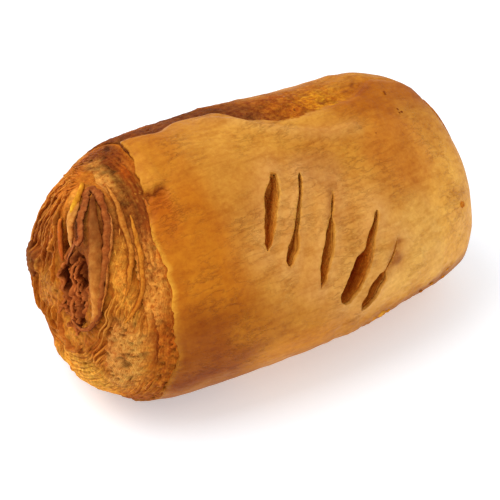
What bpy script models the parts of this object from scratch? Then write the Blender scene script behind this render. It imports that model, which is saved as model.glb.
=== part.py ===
"""A puff pastry roll with a cherry filling, lying on its flat underside.

The roll lies along X, its shown end at -X and its five slits on the -Y side.
A long sheet of laminated dough is rolled round the filling: its outer edge ends
in a low step along the top, and its turns stand out as a spiral at both ends.
"""
import math

import bmesh
import bpy
from mathutils import Vector

# Sizes of the whole roll, in metres.
ROLL_LENGTH = 0.087        # from rim to rim, without the domed ends
ROLL_WIDTH = 0.078
ROLL_HEIGHT = 0.0605
FLAT_SHARE = 0.08          # of half the height, pressed flat underneath
SECTION_POWER = 1.88       # 2 is an ellipse, less is closer to a diamond
TOP_NARROWING = 0.26       # the section is narrower above than below
WIDTH_TAPER = 0.14         # of the width, lost towards each rim
HEIGHT_TAPER = 0.02
TAPER_POWER = 2.9
WIDTH_LEAN = 0.03          # of the width, lost from the left end to the right one
HEIGHT_LEAN = 0.03
AXIS_DRIFT = -0.0028       # how far the axis wanders along Y from end to end
LEFT_SLANT_Y = -0.062      # how the left rim leans out of the cross plane
LEFT_SLANT_Z = -0.150
SWELL = 0.00045            # height of the long waves of the crust
ROLL_MIDDLE = (-0.0028, -0.0001, 0.0)   # middle of the roll's underside, which is the origin

# The domed ends: (depth of the dome, power of its outline).
LEFT_DOME = (0.0165, 3.3)
RIGHT_DOME = (0.0120, 3.4)

# The spiral of dough that shows at both ends.
TURNS = 5
SHEET_THICKNESS = 0.0012   # of the last layer, where it ends in a step
FIRST_TURN = 0.03          # of the way in to the core, at the sheet's outer edge
LAST_TURN = 0.12           # of the way out from the core, at the innermost turn
RIDGE_HEIGHT = 0.0020      # of each turn of dough over the groove beside it
CORE_SHIFT = (-0.0095, 0.0080)
CORE_HALF_WIDTH = 0.0035
CORE_HALF_HEIGHT = 0.0120

# The outer edge of the sheet: (place along the roll, angle round it in degrees).
SEAM_ROUTE = ((-0.0435, 66), (-0.0116, 79), (-0.0047, 99), (0.0060, 104), (0.0435, 101))
SEAM_LEVEL = 92            # its mean angle
STEP_REACH = 95            # degrees behind the edge over which the step fades out
BUTT_ANGLE = 1.3           # degrees that the face of the step takes up

# Slits: place along the roll and angle of the upper end, the same of the lower
# end, greatest width, and depth.
SLITS = (
    ((-0.0093, 130), (-0.0193, 155), 0.0030, 0.0085),
    ((-0.0023, 134), (-0.0150, 163), 0.0017, 0.0070),
    ((0.0040, 144), (-0.0086, 175), 0.0020, 0.0080),
    ((0.0126, 157), (-0.0031, 189), 0.0040, 0.0110),
    ((0.0141, 174), (0.0030, 196), 0.0031, 0.0110),
)
SLIT_OVERSHOOT = 0.0030    # how far a cutter stands out of the crust

# Flakes that stand out of the crust: place along the roll, angle, height, spread.
FLAKES = (
    (-0.0430, 12, 0.0016, 0.006),
    (0.0108, 211, 0.0012, 0.004),
    (0.0296, 209, 0.0011, 0.005),
    (0.0420, 170, 0.0009, 0.004),
    (0.0360, 340, 0.0012, 0.006),
)

# Filling: share of the way from end to end (-1 to 1), centre (Y, Z), half width
# and half height.
FILLING_STATIONS = (
    (-1.00, (-0.0090, 0.0320), 0.0030, 0.0070),
    (-0.72, (-0.0095, 0.0315), 0.0040, 0.0080),
    (-0.42, (-0.0150, 0.0295), 0.0055, 0.0090),
    (-0.12, (-0.0240, 0.0275), 0.0065, 0.0095),
    (0.16, (-0.0250, 0.0265), 0.0065, 0.0095),
    (0.42, (-0.0170, 0.0290), 0.0055, 0.0085),
    (0.72, (-0.0100, 0.0320), 0.0040, 0.0080),
    (1.00, (-0.0090, 0.0330), 0.0030, 0.0070),
)
FILLING_INSET = 0.0005     # how deep the filling's ends lie in the spiral's core
FILLING_GAP = 0.0003       # clearance between the filling and the dough

# How finely the shapes are divided.
GIRTH_STEPS = 64
LENGTH_STEPS = 24
FILLING_STEPS = 18
FILLING_RINGS = 20
SLIT_RINGS = 9

HALF_HEIGHT = ROLL_HEIGHT / (2 - FLAT_SHARE)
AXIS_HEIGHT = HALF_HEIGHT * (1 - FLAT_SHARE)


def clear_scene():
    for old in list(bpy.data.objects):
        bpy.data.objects.remove(old, do_unlink=True)


def ease(share):
    share = min(max(share, 0.0), 1.0)
    return share * share * (3 - 2 * share)


def signed_power(value, power):
    return math.copysign(abs(value) ** power, value)


def along_route(route, place):
    """The value that a route of (place, value) pairs has at one place."""
    for (start, low), (end, high) in zip(route, route[1:]):
        if place <= end:
            return low + (high - low) * ease((place - start) / (end - start))
    return route[-1][1]


def seam_angle(place):
    return math.radians(along_route(SEAM_ROUTE, place))


def girth_angle(place, way_round):
    """The angle of a way round from the sheet's edge, which wanders along the roll."""
    level = math.radians(SEAM_LEVEL)
    return level + way_round + (seam_angle(place) - level) * (1 + math.cos(way_round)) / 2


def crust_relief(place, angle, behind_edge):
    """How far the crust stands out of the plain section at one place.

    behind_edge is the angle left, going round, to the sheet's outer edge.
    """
    waves = math.sin(2 * angle + 95 * place) + 0.6 * math.sin(5 * angle - 140 * place + 1.0)
    relief = SWELL * waves * ease((math.sin(angle) + 0.9) / 0.5)
    relief -= SHEET_THICKNESS * (1 - ease(behind_edge / math.radians(STEP_REACH)))
    for flake_place, flake_angle, height, spread in FLAKES:
        turn = (angle - math.radians(flake_angle) + math.pi) % (2 * math.pi) - math.pi
        gap = math.hypot(place - flake_place, turn * ROLL_WIDTH / 2)
        relief += height * (1 - ease(gap / spread))
    return relief


def section_point(place, angle, relief=0.0):
    """A point of the crust, by its place along the roll and its angle round it."""
    share = place / ROLL_LENGTH
    off_centre = abs(2 * share)
    taper = off_centre ** TAPER_POWER
    half_width = ROLL_WIDTH / 2 * (1 - WIDTH_LEAN * share - WIDTH_TAPER * taper)
    half_height = HALF_HEIGHT * (1 - HEIGHT_LEAN * share - HEIGHT_TAPER * taper)
    y = half_width * signed_power(math.cos(angle), 2 / SECTION_POWER)
    z = half_height * signed_power(math.sin(angle), 2 / SECTION_POWER)
    y *= 1 - TOP_NARROWING * z / half_height
    reach = math.hypot(y, z)
    y *= 1 + relief / reach
    z *= 1 + relief / reach
    z = max(z, -AXIS_HEIGHT)
    return Vector((place, y + AXIS_DRIFT * share, z + AXIS_HEIGHT))


def slanted(point):
    """Leans a point of the left half the way the left rim leans."""
    lean = max(0.0, -2 * point.x / ROLL_LENGTH) ** 3
    y = point.y - AXIS_DRIFT * point.x / ROLL_LENGTH
    z = point.z - AXIS_HEIGHT
    point.x -= lean * (LEFT_SLANT_Y * y + LEFT_SLANT_Z * z)
    return point


def crust_point(place, step):
    """A point of the crust: the girth's first step is the sheet's outer edge, and
    its last one lies at the foot of the edge."""
    sweep = 2 * math.pi - math.radians(BUTT_ANGLE)
    way_round = sweep * step / (GIRTH_STEPS - 1)
    angle = girth_angle(place, way_round)
    behind_edge = 2 * math.pi - way_round
    return slanted(section_point(place, angle, crust_relief(place, angle, behind_edge)))


def end_point(side, angle, share, ridge, dome):
    """A point of a domed end: share is 1 on the rim and 0 round the core."""
    place = side * ROLL_LENGTH / 2
    rim = section_point(place, angle)
    core = Vector((rim.x,
                   CORE_SHIFT[0] + CORE_HALF_WIDTH * math.cos(angle),
                   AXIS_HEIGHT + CORE_SHIFT[1] + CORE_HALF_HEIGHT * math.sin(angle)))
    depth, power = dome
    point = slanted(core.lerp(rim, share))
    point.x += side * (depth * (1 - share ** power) + ridge)
    return point


def turn_width(step):
    """How wide the turn of dough is after so many steps, as a share of the way in."""
    full = (1 - FIRST_TURN - LAST_TURN) / (TURNS - 1)
    lap = step / GIRTH_STEPS
    if lap < 1:
        return FIRST_TURN + full * lap
    return full * (1 - max(lap - TURNS + 1, 0.0) ** 4)


def add_spiral_end(mesh, rim, side, dome):
    """Closes one end with the turns of dough, coiled in from the sheet's edge."""
    rim_place = side * ROLL_LENGTH / 2
    columns = []
    grooves = []
    shares = []
    for step in range(TURNS * GIRTH_STEPS):
        angle = girth_angle(rim_place, 2 * math.pi * step / GIRTH_STEPS)
        if step < GIRTH_STEPS:
            outer = rim[step]
            outer_share = 1.0
        else:
            outer = grooves[step - GIRTH_STEPS]
            outer_share = shares[step - GIRTH_STEPS]
        width = turn_width(step)
        inner_share = outer_share - width
        uneven = 0.75 + 0.35 * math.sin(2 * angle + 1.7 * side + step / GIRTH_STEPS)
        height = RIDGE_HEIGHT * uneven * min(1.0, width * TURNS)
        crests = []
        for across in (0.72, 0.34):
            share = inner_share + width * across
            crests.append(mesh.verts.new(end_point(side, angle, share, height, dome)))
        groove = mesh.verts.new(end_point(side, angle, inner_share, 0.0, dome))
        grooves.append(groove)
        shares.append(inner_share)
        columns.append([outer] + crests + [groove])
    for column, following in zip(columns, columns[1:]):
        for row in range(3):
            mesh.faces.new((column[row], column[row + 1],
                            following[row + 1], following[row]))
    mesh.faces.new([rim[-1]] + columns[0])
    # The innermost turn runs out into the groove beside it, round the core.
    loop = grooves[-GIRTH_STEPS:]
    mesh.faces.new(columns[-1] + [loop[0]])
    core = mesh.verts.new(end_point(side, 0.0, 0.0, 0.0, dome))
    core.co.y = CORE_SHIFT[0]
    core.co.z = AXIS_HEIGHT + CORE_SHIFT[1]
    for groove, following in zip(loop, loop[1:] + loop[:1]):
        mesh.faces.new((groove, core, following))


def finish_mesh(name, mesh, material=None):
    bmesh.ops.recalc_face_normals(mesh, faces=mesh.faces)
    bmesh.ops.translate(mesh, verts=mesh.verts, vec=-Vector(ROLL_MIDDLE))
    data = bpy.data.meshes.new(name)
    mesh.to_mesh(data)
    mesh.free()
    part = bpy.data.objects.new(name, data)
    bpy.context.collection.objects.link(part)
    if material:
        data.materials.append(material)
        data.shade_smooth()
        data.set_sharp_from_angle(angle=math.radians(35))
    else:
        part.hide_render = True
        part.display_type = "WIRE"
    return part


def food_material(name, colour, roughness):
    material = bpy.data.materials.new(name)
    material.use_nodes = True
    shader = material.node_tree.nodes["Principled BSDF"]
    shader.inputs["Base Color"].default_value = colour + (1.0,)
    shader.inputs["Roughness"].default_value = roughness
    shader.inputs["Metallic"].default_value = 0.0
    return material


def make_dough():
    """The whole roll of dough, before the filling and the slits are cut out."""
    mesh = bmesh.new()
    rings = []
    for row in range(LENGTH_STEPS + 1):
        place = ROLL_LENGTH * (row / LENGTH_STEPS - 0.5)
        rings.append([mesh.verts.new(crust_point(place, step))
                      for step in range(GIRTH_STEPS)])
    for ring, following in zip(rings, rings[1:]):
        for step in range(GIRTH_STEPS):
            beside = (step + 1) % GIRTH_STEPS
            mesh.faces.new((ring[step], ring[beside], following[beside], following[step]))
    add_spiral_end(mesh, rings[0], -1, LEFT_DOME)
    add_spiral_end(mesh, rings[-1], 1, RIGHT_DOME)
    bmesh.ops.triangulate(mesh, faces=mesh.faces)
    return finish_mesh("pastry", mesh, food_material("baked_crust", (0.58, 0.26, 0.07), 0.5))


def filling_section(share):
    """Centre, half width and half height of the filling at one place."""
    for before, after in zip(FILLING_STATIONS, FILLING_STATIONS[1:]):
        if share <= after[0]:
            break
    blend = ease((share - before[0]) / (after[0] - before[0]))
    centre = Vector((0, *before[1])).lerp(Vector((0, *after[1])), blend)
    half_width = before[2] + (after[2] - before[2]) * blend
    half_height = before[3] + (after[3] - before[3]) * blend
    return centre, half_width, half_height


def filling_ring(mesh, share, x, gap):
    centre, half_width, half_height = filling_section(share)
    ring = []
    for step in range(FILLING_STEPS):
        angle = 2 * math.pi * step / FILLING_STEPS
        lumps = 1 + 0.10 * math.sin(3 * angle + 5 * share) + 0.05 * math.sin(9 * share)
        ring.append(mesh.verts.new((
            x,
            centre.y + (half_width * lumps + gap) * math.cos(angle),
            centre.z + (half_height * lumps + gap) * math.sin(angle))))
    return ring


def filling_mesh(gap, overrun):
    """The band of filling, widened by a gap and run on straight past both ends."""
    left_end = -ROLL_LENGTH / 2 - LEFT_DOME[0] + FILLING_INSET
    right_end = ROLL_LENGTH / 2 + RIGHT_DOME[0] - FILLING_INSET
    mesh = bmesh.new()
    rings = []
    if overrun:
        rings.append(filling_ring(mesh, -1, left_end - overrun, gap))
    for row in range(FILLING_RINGS + 1):
        way = row / FILLING_RINGS
        x = left_end + (right_end - left_end) * way
        rings.append(filling_ring(mesh, 2 * way - 1, x, gap))
    if overrun:
        rings.append(filling_ring(mesh, 1, right_end + overrun, gap))
    for ring, following in zip(rings, rings[1:]):
        for step in range(FILLING_STEPS):
            beside = (step + 1) % FILLING_STEPS
            mesh.faces.new((ring[step], ring[beside], following[beside], following[step]))
    mesh.faces.new(rings[0])
    mesh.faces.new(rings[-1])
    bmesh.ops.triangulate(mesh, faces=mesh.faces)
    return mesh


def make_filling():
    material = food_material("cherry_filling", (0.16, 0.02, 0.02), 0.25)
    return finish_mesh("cherry_filling", filling_mesh(0.0, 0.0), material)


def add_slit(mesh, upper, lower, width, depth):
    """One pointed, lens shaped cutter that follows the crust from end to end."""
    def route_point(share):
        place = upper[0] + (lower[0] - upper[0]) * share
        angle = math.radians(upper[1] + (lower[1] - upper[1]) * share)
        return place, angle, section_point(place, angle)

    rings = []
    for row in range(SLIT_RINGS):
        share = (row + 0.5) / SLIT_RINGS
        place, angle, centre = route_point(share)
        along = (route_point(share + 0.05)[2] - route_point(share - 0.05)[2]).normalized()
        beside = section_point(place + 0.001, angle) - section_point(place - 0.001, angle)
        outward = beside.cross(along).normalized()
        across = along.cross(outward).normalized()
        if outward.dot(centre - Vector((centre.x, 0, AXIS_HEIGHT))) < 0:
            outward.negate()
        fullness = math.sin(math.pi * share) ** 0.8
        half = width / 2 * fullness
        deep = depth * fullness ** 0.7
        profile = ((-1.0, SLIT_OVERSHOOT), (1.0, SLIT_OVERSHOOT), (0.95, -0.35 * deep),
                   (0.30, -deep), (-0.30, -deep), (-0.95, -0.35 * deep))
        rings.append([mesh.verts.new(centre + across * half * side + outward * level)
                      for side, level in profile])
    for ring, following in zip(rings, rings[1:]):
        for step in range(len(ring)):
            beside = (step + 1) % len(ring)
            mesh.faces.new((ring[step], ring[beside], following[beside], following[step]))
    mesh.faces.new(rings[0])
    mesh.faces.new(rings[-1])


def make_slit_cutter():
    mesh = bmesh.new()
    for upper, lower, width, depth in SLITS:
        add_slit(mesh, upper, lower, width, depth)
    bmesh.ops.triangulate(mesh, faces=mesh.faces)
    return finish_mesh("slit_cutter", mesh)


def cut(part, cutter):
    hollow = part.modifiers.new(cutter.name, "BOOLEAN")
    hollow.operation = "DIFFERENCE"
    hollow.solver = "EXACT"
    hollow.object = cutter


def build():
    clear_scene()
    dough = make_dough()
    make_filling()
    channel = finish_mesh("filling_channel", filling_mesh(FILLING_GAP, ROLL_WIDTH / 4))
    cut(dough, channel)
    cut(dough, make_slit_cutter())


build()
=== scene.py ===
import math

import bpy
import numpy as np
from mathutils import Matrix, Vector


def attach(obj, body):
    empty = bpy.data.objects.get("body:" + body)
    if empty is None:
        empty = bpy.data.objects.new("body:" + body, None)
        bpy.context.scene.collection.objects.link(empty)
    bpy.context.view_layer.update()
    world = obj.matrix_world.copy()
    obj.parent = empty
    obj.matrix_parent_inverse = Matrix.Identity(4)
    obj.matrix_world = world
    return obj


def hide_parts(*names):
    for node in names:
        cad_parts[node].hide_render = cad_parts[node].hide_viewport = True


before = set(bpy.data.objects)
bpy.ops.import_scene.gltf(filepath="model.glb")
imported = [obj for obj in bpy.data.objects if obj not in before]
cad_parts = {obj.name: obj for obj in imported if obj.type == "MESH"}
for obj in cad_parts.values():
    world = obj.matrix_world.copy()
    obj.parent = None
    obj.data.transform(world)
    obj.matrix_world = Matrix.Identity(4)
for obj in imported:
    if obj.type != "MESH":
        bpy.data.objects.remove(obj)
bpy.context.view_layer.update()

# The roll's own measures, in metres and degrees. Angles go round the roll: 90 is the
# top, 180 the side with the slits, 270 the underside.
roll = {
    "length": 0.087, "width": 0.078, "height": 0.0605,
    "flatShare": 0.08, "sectionPower": 1.88, "topNarrowing": 0.26,
    "widthTaper": 0.14, "heightTaper": 0.02, "taperPower": 2.9,
    "widthLean": 0.03, "heightLean": 0.03, "axisDrift": -0.0028,
    "slantY": -0.062, "slantZ": -0.150, "slantRight": 0.14, "slantCurve": 33,
    "middle": (-0.0028, -0.0001, 0.0), "routeRadius": 0.033,
    "swell": 0.00045, "stepReach": 95, "stepHeight": 0.0009, "seamLevel": 92,
    "seamRoute": ((-0.0435, 80), (-0.0300, 85), (-0.0200, 77), (-0.0116, 79), (-0.0050, 97),
                  (0.0060, 104), (0.0250, 103), (0.0435, 94)),
    "coreShift": (-0.0095, 0.0080), "coreHalf": (0.0035, 0.0120),
    "domes": {-1: (0.0165, 3.3), 1: (0.0120, 3.4)}, "fullBack": 0.0010,
}
halfLength = roll["length"] / 2
halfHeight = roll["height"] / (2 - roll["flatShare"])
axisHeight = halfHeight * (1 - roll["flatShare"])


# shapes that several pieces share
def easeStep(share):
    share = np.clip(share, 0.0, 1.0)
    return share * share * (3 - 2 * share)


def between(value, low, high, soft):
    # 1 between two limits, 0 outside them, with soft ends
    return easeStep((value - low) / soft) * easeStep((high - value) / soft)


def hump(gap, height, width):
    return height * np.exp(-(gap / width) ** 2)


def unit(vectors):
    return vectors / np.linalg.norm(vectors, axis=-1, keepdims=True)


def signedPower(value, power):
    return np.sign(value) * np.abs(value) ** power


def softNoise(points, size, seed):
    # smooth lumps between -1 and 1, always the same for one seed
    cells = np.random.default_rng(seed).uniform(-1, 1, (32, 32, 32))
    scaled = np.asarray(points, float) / size
    low = np.floor(scaled).astype(int)
    blend = easeStep(scaled - low)
    total = np.zeros(len(scaled))
    for corner in range(8):
        step = np.array([corner & 1, corner >> 1 & 1, corner >> 2 & 1])
        weight = np.prod(np.where(step, blend, 1 - blend), axis=1)
        cell = (low + step) % 32
        total += weight * cells[cell[:, 0], cell[:, 1], cell[:, 2]]
    return total


def roughNoise(points, size, seed):
    total = softNoise(points, size, seed) + 0.5 * softNoise(points, size / 2.1, seed + 1)
    return (total + 0.25 * softNoise(points, size / 4.3, seed + 2)) / 1.3


def noises(points, layers, noise=roughNoise):
    # noise in layers of (height, size, seed)
    return sum(height * noise(points, size, seed) for height, size, seed in layers)


def alongRoute(route, place):
    value = np.full_like(place, route[-1][1], dtype=float)
    for (start, low), (end, high) in reversed(list(zip(route, route[1:]))):
        part = low + (high - low) * easeStep((place - start) / (end - start))
        value = np.where(place <= end, part, value)
    return value


def girthAngle(place, wayRound):
    # the angle of a way round from the sheet's outer edge, which wanders along the roll
    level = math.radians(roll["seamLevel"])
    lean = np.radians(alongRoute(roll["seamRoute"], place)) - level
    return level + wayRound + lean * (1 + np.cos(wayRound)) / 2


def halfSizes(share):
    taper = np.abs(2 * share) ** roll["taperPower"]
    wide = roll["width"] / 2 * (1 - roll["widthLean"] * share - roll["widthTaper"] * taper)
    high = halfHeight * (1 - roll["heightLean"] * share - roll["heightTaper"] * taper)
    return wide, high


def sectionPoints(place, angle, relief=0):
    share = place / roll["length"]
    wide, high = halfSizes(share)
    y = wide * signedPower(np.cos(angle), 2 / roll["sectionPower"])
    z = high * signedPower(np.sin(angle), 2 / roll["sectionPower"])
    y = y * (1 - roll["topNarrowing"] * z / high)
    grow = 1 + relief / np.hypot(y, z)
    z = np.maximum(z * grow, -axisHeight)
    y = y * grow + roll["axisDrift"] * share
    return np.stack([place, y, z + axisHeight], axis=-1)


def rightLean(rise):
    return roll["slantRight"] * (rise + roll["slantCurve"] * np.maximum(rise, 0) ** 2)


def endLean(place, y, z):
    # the left end leans out towards its foot, the right end back towards its top
    left = np.maximum(0, -place / halfLength) ** 3
    right = np.maximum(0, place / halfLength) ** 3
    side = y - roll["axisDrift"] * place / roll["length"]
    rise = z - axisHeight
    return left * (roll["slantY"] * side + roll["slantZ"] * rise) + right * rightLean(rise)


def slanted(points):
    points[:, 0] -= endLean(*points.T)
    return points


def endPoints(side, share, angle, relief, lift=0):
    # share is 1 on the rim, 0 round the core and -1 in its middle
    place = np.full_like(share, side * halfLength)
    rim = sectionPoints(place, angle, relief)
    inner = np.clip(1 + share, 0, 1)
    core = np.stack([
        place,
        roll["coreShift"][0] + roll["coreHalf"][0] * np.cos(angle) * inner,
        axisHeight + roll["coreShift"][1] + roll["coreHalf"][1] * np.sin(angle) * inner,
    ], axis=-1)
    out = np.clip(share, 0, 1)
    points = slanted(core + (rim - core) * out[:, None])
    depth, power = roll["domes"][side]
    points[:, 0] += side * (depth * (1 - out ** power) + lift)
    return points


def turnGap(angle, degrees):
    # signed degrees between angles and one fixed angle
    return (np.degrees(angle) - degrees + 180) % 360 - 180


def nearAngle(angle, degrees, reach, soft):
    # 1 near one fixed angle and 0 beyond its reach, in degrees
    return easeStep((reach - np.abs(turnGap(angle, degrees))) / soft)


def crustWaves(place, angle):
    waves = np.sin(2 * angle + 95 * place) + 0.6 * np.sin(5 * angle - 140 * place + 1)
    waves = roll["swell"] * waves * easeStep((np.sin(angle) + 0.9) / 0.5)
    # both ends are a little fuller at the back of their tops
    full = easeStep((-0.012 - place) / 0.025) * nearAngle(angle, 68, 45, 40)
    full += easeStep((place - 0.018) / 0.018) * nearAngle(angle, 82, 40, 35)
    return waves + roll["fullBack"] * full


def routeGap(place, angle, route):
    # metres over the crust from a route of (place, degrees) knots
    middle = sum(knot[1] for knot in route) / len(route)
    degree = math.radians(1) * roll["routeRadius"]
    here = np.stack([place, turnGap(angle, middle) * degree], axis=-1)
    knots = [np.array([knot[0], (knot[1] - middle) * degree]) for knot in route]
    best = np.full(len(place), np.inf)
    for start, end in zip(knots, knots[1:]):
        run = end - start
        way = np.clip((here - start) @ run / (run @ run), 0, 1)
        best = np.minimum(best, np.linalg.norm(here - start - way[:, None] * run, axis=1))
    return best


def linear(colour):
    # what a colour picked off a screen, from 0 to 255, is in Blender's own values
    shares = np.asarray(colour, float) / 255
    return np.where(shares <= 0.04045, shares / 12.92, ((shares + 0.055) / 1.055) ** 2.4)


def mixTones(first, second, share):
    # a blend of two colours for each point
    return linear(first) + (linear(second) - linear(first)) * share[:, None]


def blendPaint(paint, colour, weight):
    # lays a colour over paint, as strongly as the weights say
    paint += (linear(colour) - paint) * weight[:, None]


# handling of pieces
def deselectAll():
    if bpy.context.object and bpy.context.object.mode != "OBJECT":
        bpy.ops.object.mode_set(mode="OBJECT")
    bpy.ops.object.select_all(action="DESELECT")


def addGrid(name, columns, rows):
    # a flat grid, and where each of its points lies across and along it, from 0 to 1
    deselectAll()
    bpy.ops.mesh.primitive_grid_add(x_subdivisions=columns, y_subdivisions=rows, size=2)
    piece = bpy.context.object
    piece.name = name
    piece.data.name = name
    flat = readPoints(piece)
    return piece, (flat[:, 0] + 1) / 2, (flat[:, 1] + 1) / 2


def readPoints(piece):
    points = np.empty(len(piece.data.vertices) * 3)
    piece.data.vertices.foreach_get("co", points)
    return points.reshape(-1, 3)


def setPoints(piece, points):
    piece.data.vertices.foreach_set("co", np.asarray(points, float).ravel())
    piece.data.update()


def setPaint(piece, colours):
    layer = piece.data.color_attributes.new("paint", "FLOAT_COLOR", "POINT")
    full = np.concatenate([np.clip(colours, 0, 1), np.ones((len(colours), 1))], axis=1)
    layer.data.foreach_set("color", full.astype(np.float32).ravel())


def setMask(piece, name, values):
    layer = piece.data.attributes.new(name, "FLOAT", "POINT")
    layer.data.foreach_set("value", np.asarray(values, np.float32))


def makeActive(piece):
    deselectAll()
    piece.select_set(True)
    bpy.context.view_layer.objects.active = piece


def tidyMesh(piece, outward=True, threshold=0.000004):
    # merges seams and poles, then turns all faces outward
    makeActive(piece)
    bpy.ops.object.mode_set(mode="EDIT")
    bpy.ops.mesh.select_all(action="SELECT")
    if threshold:
        bpy.ops.mesh.remove_doubles(threshold=threshold)
    if outward:
        bpy.ops.mesh.normals_make_consistent(inside=False)
    bpy.ops.object.mode_set(mode="OBJECT")
    bpy.ops.object.shade_smooth()


def applyModifier(piece, kind, **settings):
    makeActive(piece)
    modifier = piece.modifiers.new(kind.lower(), kind)
    for name, value in settings.items():
        setattr(modifier, name, value)
    bpy.ops.object.modifier_apply(modifier=modifier.name)


def joinPieces(pieces, name):
    makeActive(pieces[0])
    for piece in pieces:
        piece.select_set(True)
    bpy.ops.object.join()
    pieces[0].name = name
    return pieces[0]


def placeOnFrame(piece, node, material):
    # moved from the roll's own middle to the frame's
    piece.data.transform(Matrix.Translation(-Vector(roll["middle"])))
    piece.data.materials.clear()
    piece.data.materials.append(material)
    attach(piece, "root")
    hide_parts(node)
    triangles = sum(len(face.vertices) - 2 for face in piece.data.polygons)
    print(piece.name, "has", triangles, "triangles")


# materials
def newMaterial(name):
    material = bpy.data.materials.new(name)
    material.use_nodes = True
    tree = material.node_tree
    return material, tree, tree.nodes["Principled BSDF"]


def addNode(tree, kind, **settings):
    node = tree.nodes.new("ShaderNode" + kind)
    for name, value in settings.items():
        setattr(node, name, value)
    return node


def feed(tree, node, terms):
    # terms are sockets or plain values, by the numbers or names of the node's inputs
    for name, term in terms.items():
        if isinstance(term, bpy.types.NodeSocket):
            tree.links.new(term, node.inputs[name])
        else:
            node.inputs[name].default_value = term
    return node.outputs[0]


def compute(tree, operation, *terms):
    return feed(tree, addNode(tree, "Math", operation=operation), dict(enumerate(terms)))


def multiply(tree, *terms):
    return feed(tree, addNode(tree, "VectorMath", operation="MULTIPLY"), dict(enumerate(terms)))


def mixValues(tree, share, first, second):
    return feed(tree, addNode(tree, "Mix", data_type="FLOAT"), {0: share, 2: first, 3: second})


def mixColours(tree, share, first, second, blend="MIX"):
    mix = addNode(tree, "Mix", data_type="RGBA", blend_type=blend)
    feed(tree, mix, {0: share, 6: first, 7: second})
    return mix.outputs[2]


def addRange(tree, value, source, aim):
    return feed(tree, addNode(tree, "MapRange"), {
        "Value": value, "From Min": source[0], "From Max": source[1],
        "To Min": aim[0], "To Max": aim[1]})


def addBump(tree, height, depth, extra):
    return feed(tree, addNode(tree, "Bump"), {"Height": height, "Distance": depth, **extra})


def readPaint(tree, *masks):
    # where a point lies, its paint and its masks
    names = ("paint",) + masks
    found = [addNode(tree, "Attribute", attribute_name=name).outputs for name in names]
    place = addNode(tree, "TexCoord").outputs["Object"]
    return place, found[0]["Color"], *(outputs["Fac"] for outputs in found[1:])


def addRamp(tree, source, stops):
    ramp = addNode(tree, "ValToRGB")
    elements = ramp.color_ramp.elements
    elements[0].position, elements[1].position = stops[0][0], stops[-1][0]
    for place, _ in stops[1:-1]:
        elements.new(place)
    for element, (_, value) in zip(elements, stops):
        element.color = (value, value, value, 1)
    return feed(tree, ramp, {0: source})


def addNoise(tree, place, scale, detail, roughness, stretch=(1, 1, 1)):
    spread = feed(tree, addNode(tree, "Mapping"), {0: place, "Scale": stretch})
    return feed(tree, addNode(tree, "TexNoise"), {
        0: spread, "Scale": scale, "Detail": detail, "Roughness": roughness})


# In all these dictionaries a noise has a scale, a detail and a roughness, and some have a
# stretch, and a ramp has stops of place and value.
mottle = {"patches": (130, 4.0, 0.55), "specks": (900, 3.0, 0.6)}


def makeMottleGroup():
    # uneven browning that all the dough has: a factor for the colour, and a height
    group = bpy.data.node_groups.new("bakedMottle", "ShaderNodeTree")
    face = group.interface
    face.new_socket("Vector", in_out="INPUT", socket_type="NodeSocketVector")
    for name in ("Patches", "Specks"):
        face.new_socket(name, in_out="INPUT", socket_type="NodeSocketFloat")
    for name in ("Shade", "Grain"):
        face.new_socket(name, in_out="OUTPUT", socket_type="NodeSocketFloat")
    start = group.nodes.new("NodeGroupInput").outputs
    patches = addNoise(group, start["Vector"], *mottle["patches"])
    specks = addNoise(group, start["Vector"], *mottle["specks"])
    broad = compute(group, "MULTIPLY", compute(group, "SUBTRACT", patches, 0.5), start["Patches"])
    fine = compute(group, "SUBTRACT", specks, 0.5)
    fine = compute(group, "MULTIPLY_ADD", fine, start["Specks"], 1.0)
    end = group.nodes.new("NodeGroupOutput").inputs
    group.links.new(compute(group, "ADD", broad, fine), end["Shade"])
    group.links.new(specks, end["Grain"])


def placeMottle(tree, place, finish):
    node = tree.nodes.new("ShaderNodeGroup")
    node.node_tree = bpy.data.node_groups["bakedMottle"]
    feed(tree, node, {"Vector": place, "Patches": finish["patches"], "Specks": finish["specks"]})
    return node.outputs["Shade"], node.outputs["Grain"]


def shadePaint(tree, colour, factor, tint):
    # a colour made lighter or darker by a factor, redder where darker, and then tinted
    powers = (compute(tree, "POWER", factor, power) for power in (0.62, 1.15, 1.6))
    tone = feed(tree, addNode(tree, "CombineXYZ"), dict(enumerate(powers)))
    return multiply(tree, multiply(tree, colour, tone), tint)


skinFinish = {
    "patches": 0.55, "specks": 0.60, "roughness": (0.38, 0.58), "wrinkleDepth": 0.00008,
    "grainDepth": 0.00008, "crumbDepth": 0.0006, "stain": (0.72, 0.56, 0.27, 1),
    "stainShare": 0.48, "streakShare": 0.9, "creaseShadeShare": 0.40, "tint": (1.01, 0.985, 0.74),
    "specular": 0.10, "crumblyRoughness": 0.95,
    "creases": (330, 6.0, 0.64, (0.45, 1.45, 1.45)), "creasedParts": (85, 3.0, 0.55),
    "blots": (120, 6.0, 0.66), "streaks": (330, 5.0, 0.6, (0.36, 1.5, 1.5)),
    "granules": (850, 4.0, 0.75), "creaseRange": (0.3, 0.7),
    "grooveRamp": ((0.0, 0.0), (0.016, 0.5), (0.045, 1.0)),
    "partsRamp": ((0.38, 0.0), (0.62, 1.0)), "blotRamp": ((0.46, 0.0), (0.68, 1.0)),
    "streakRamp": ((0.50, 0.0), (0.57, 0.55), (0.66, 1.0)),
    "toastRamp": ((0.36, 0.50), (0.5, 0.95), (0.62, 1.55)),
}


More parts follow.
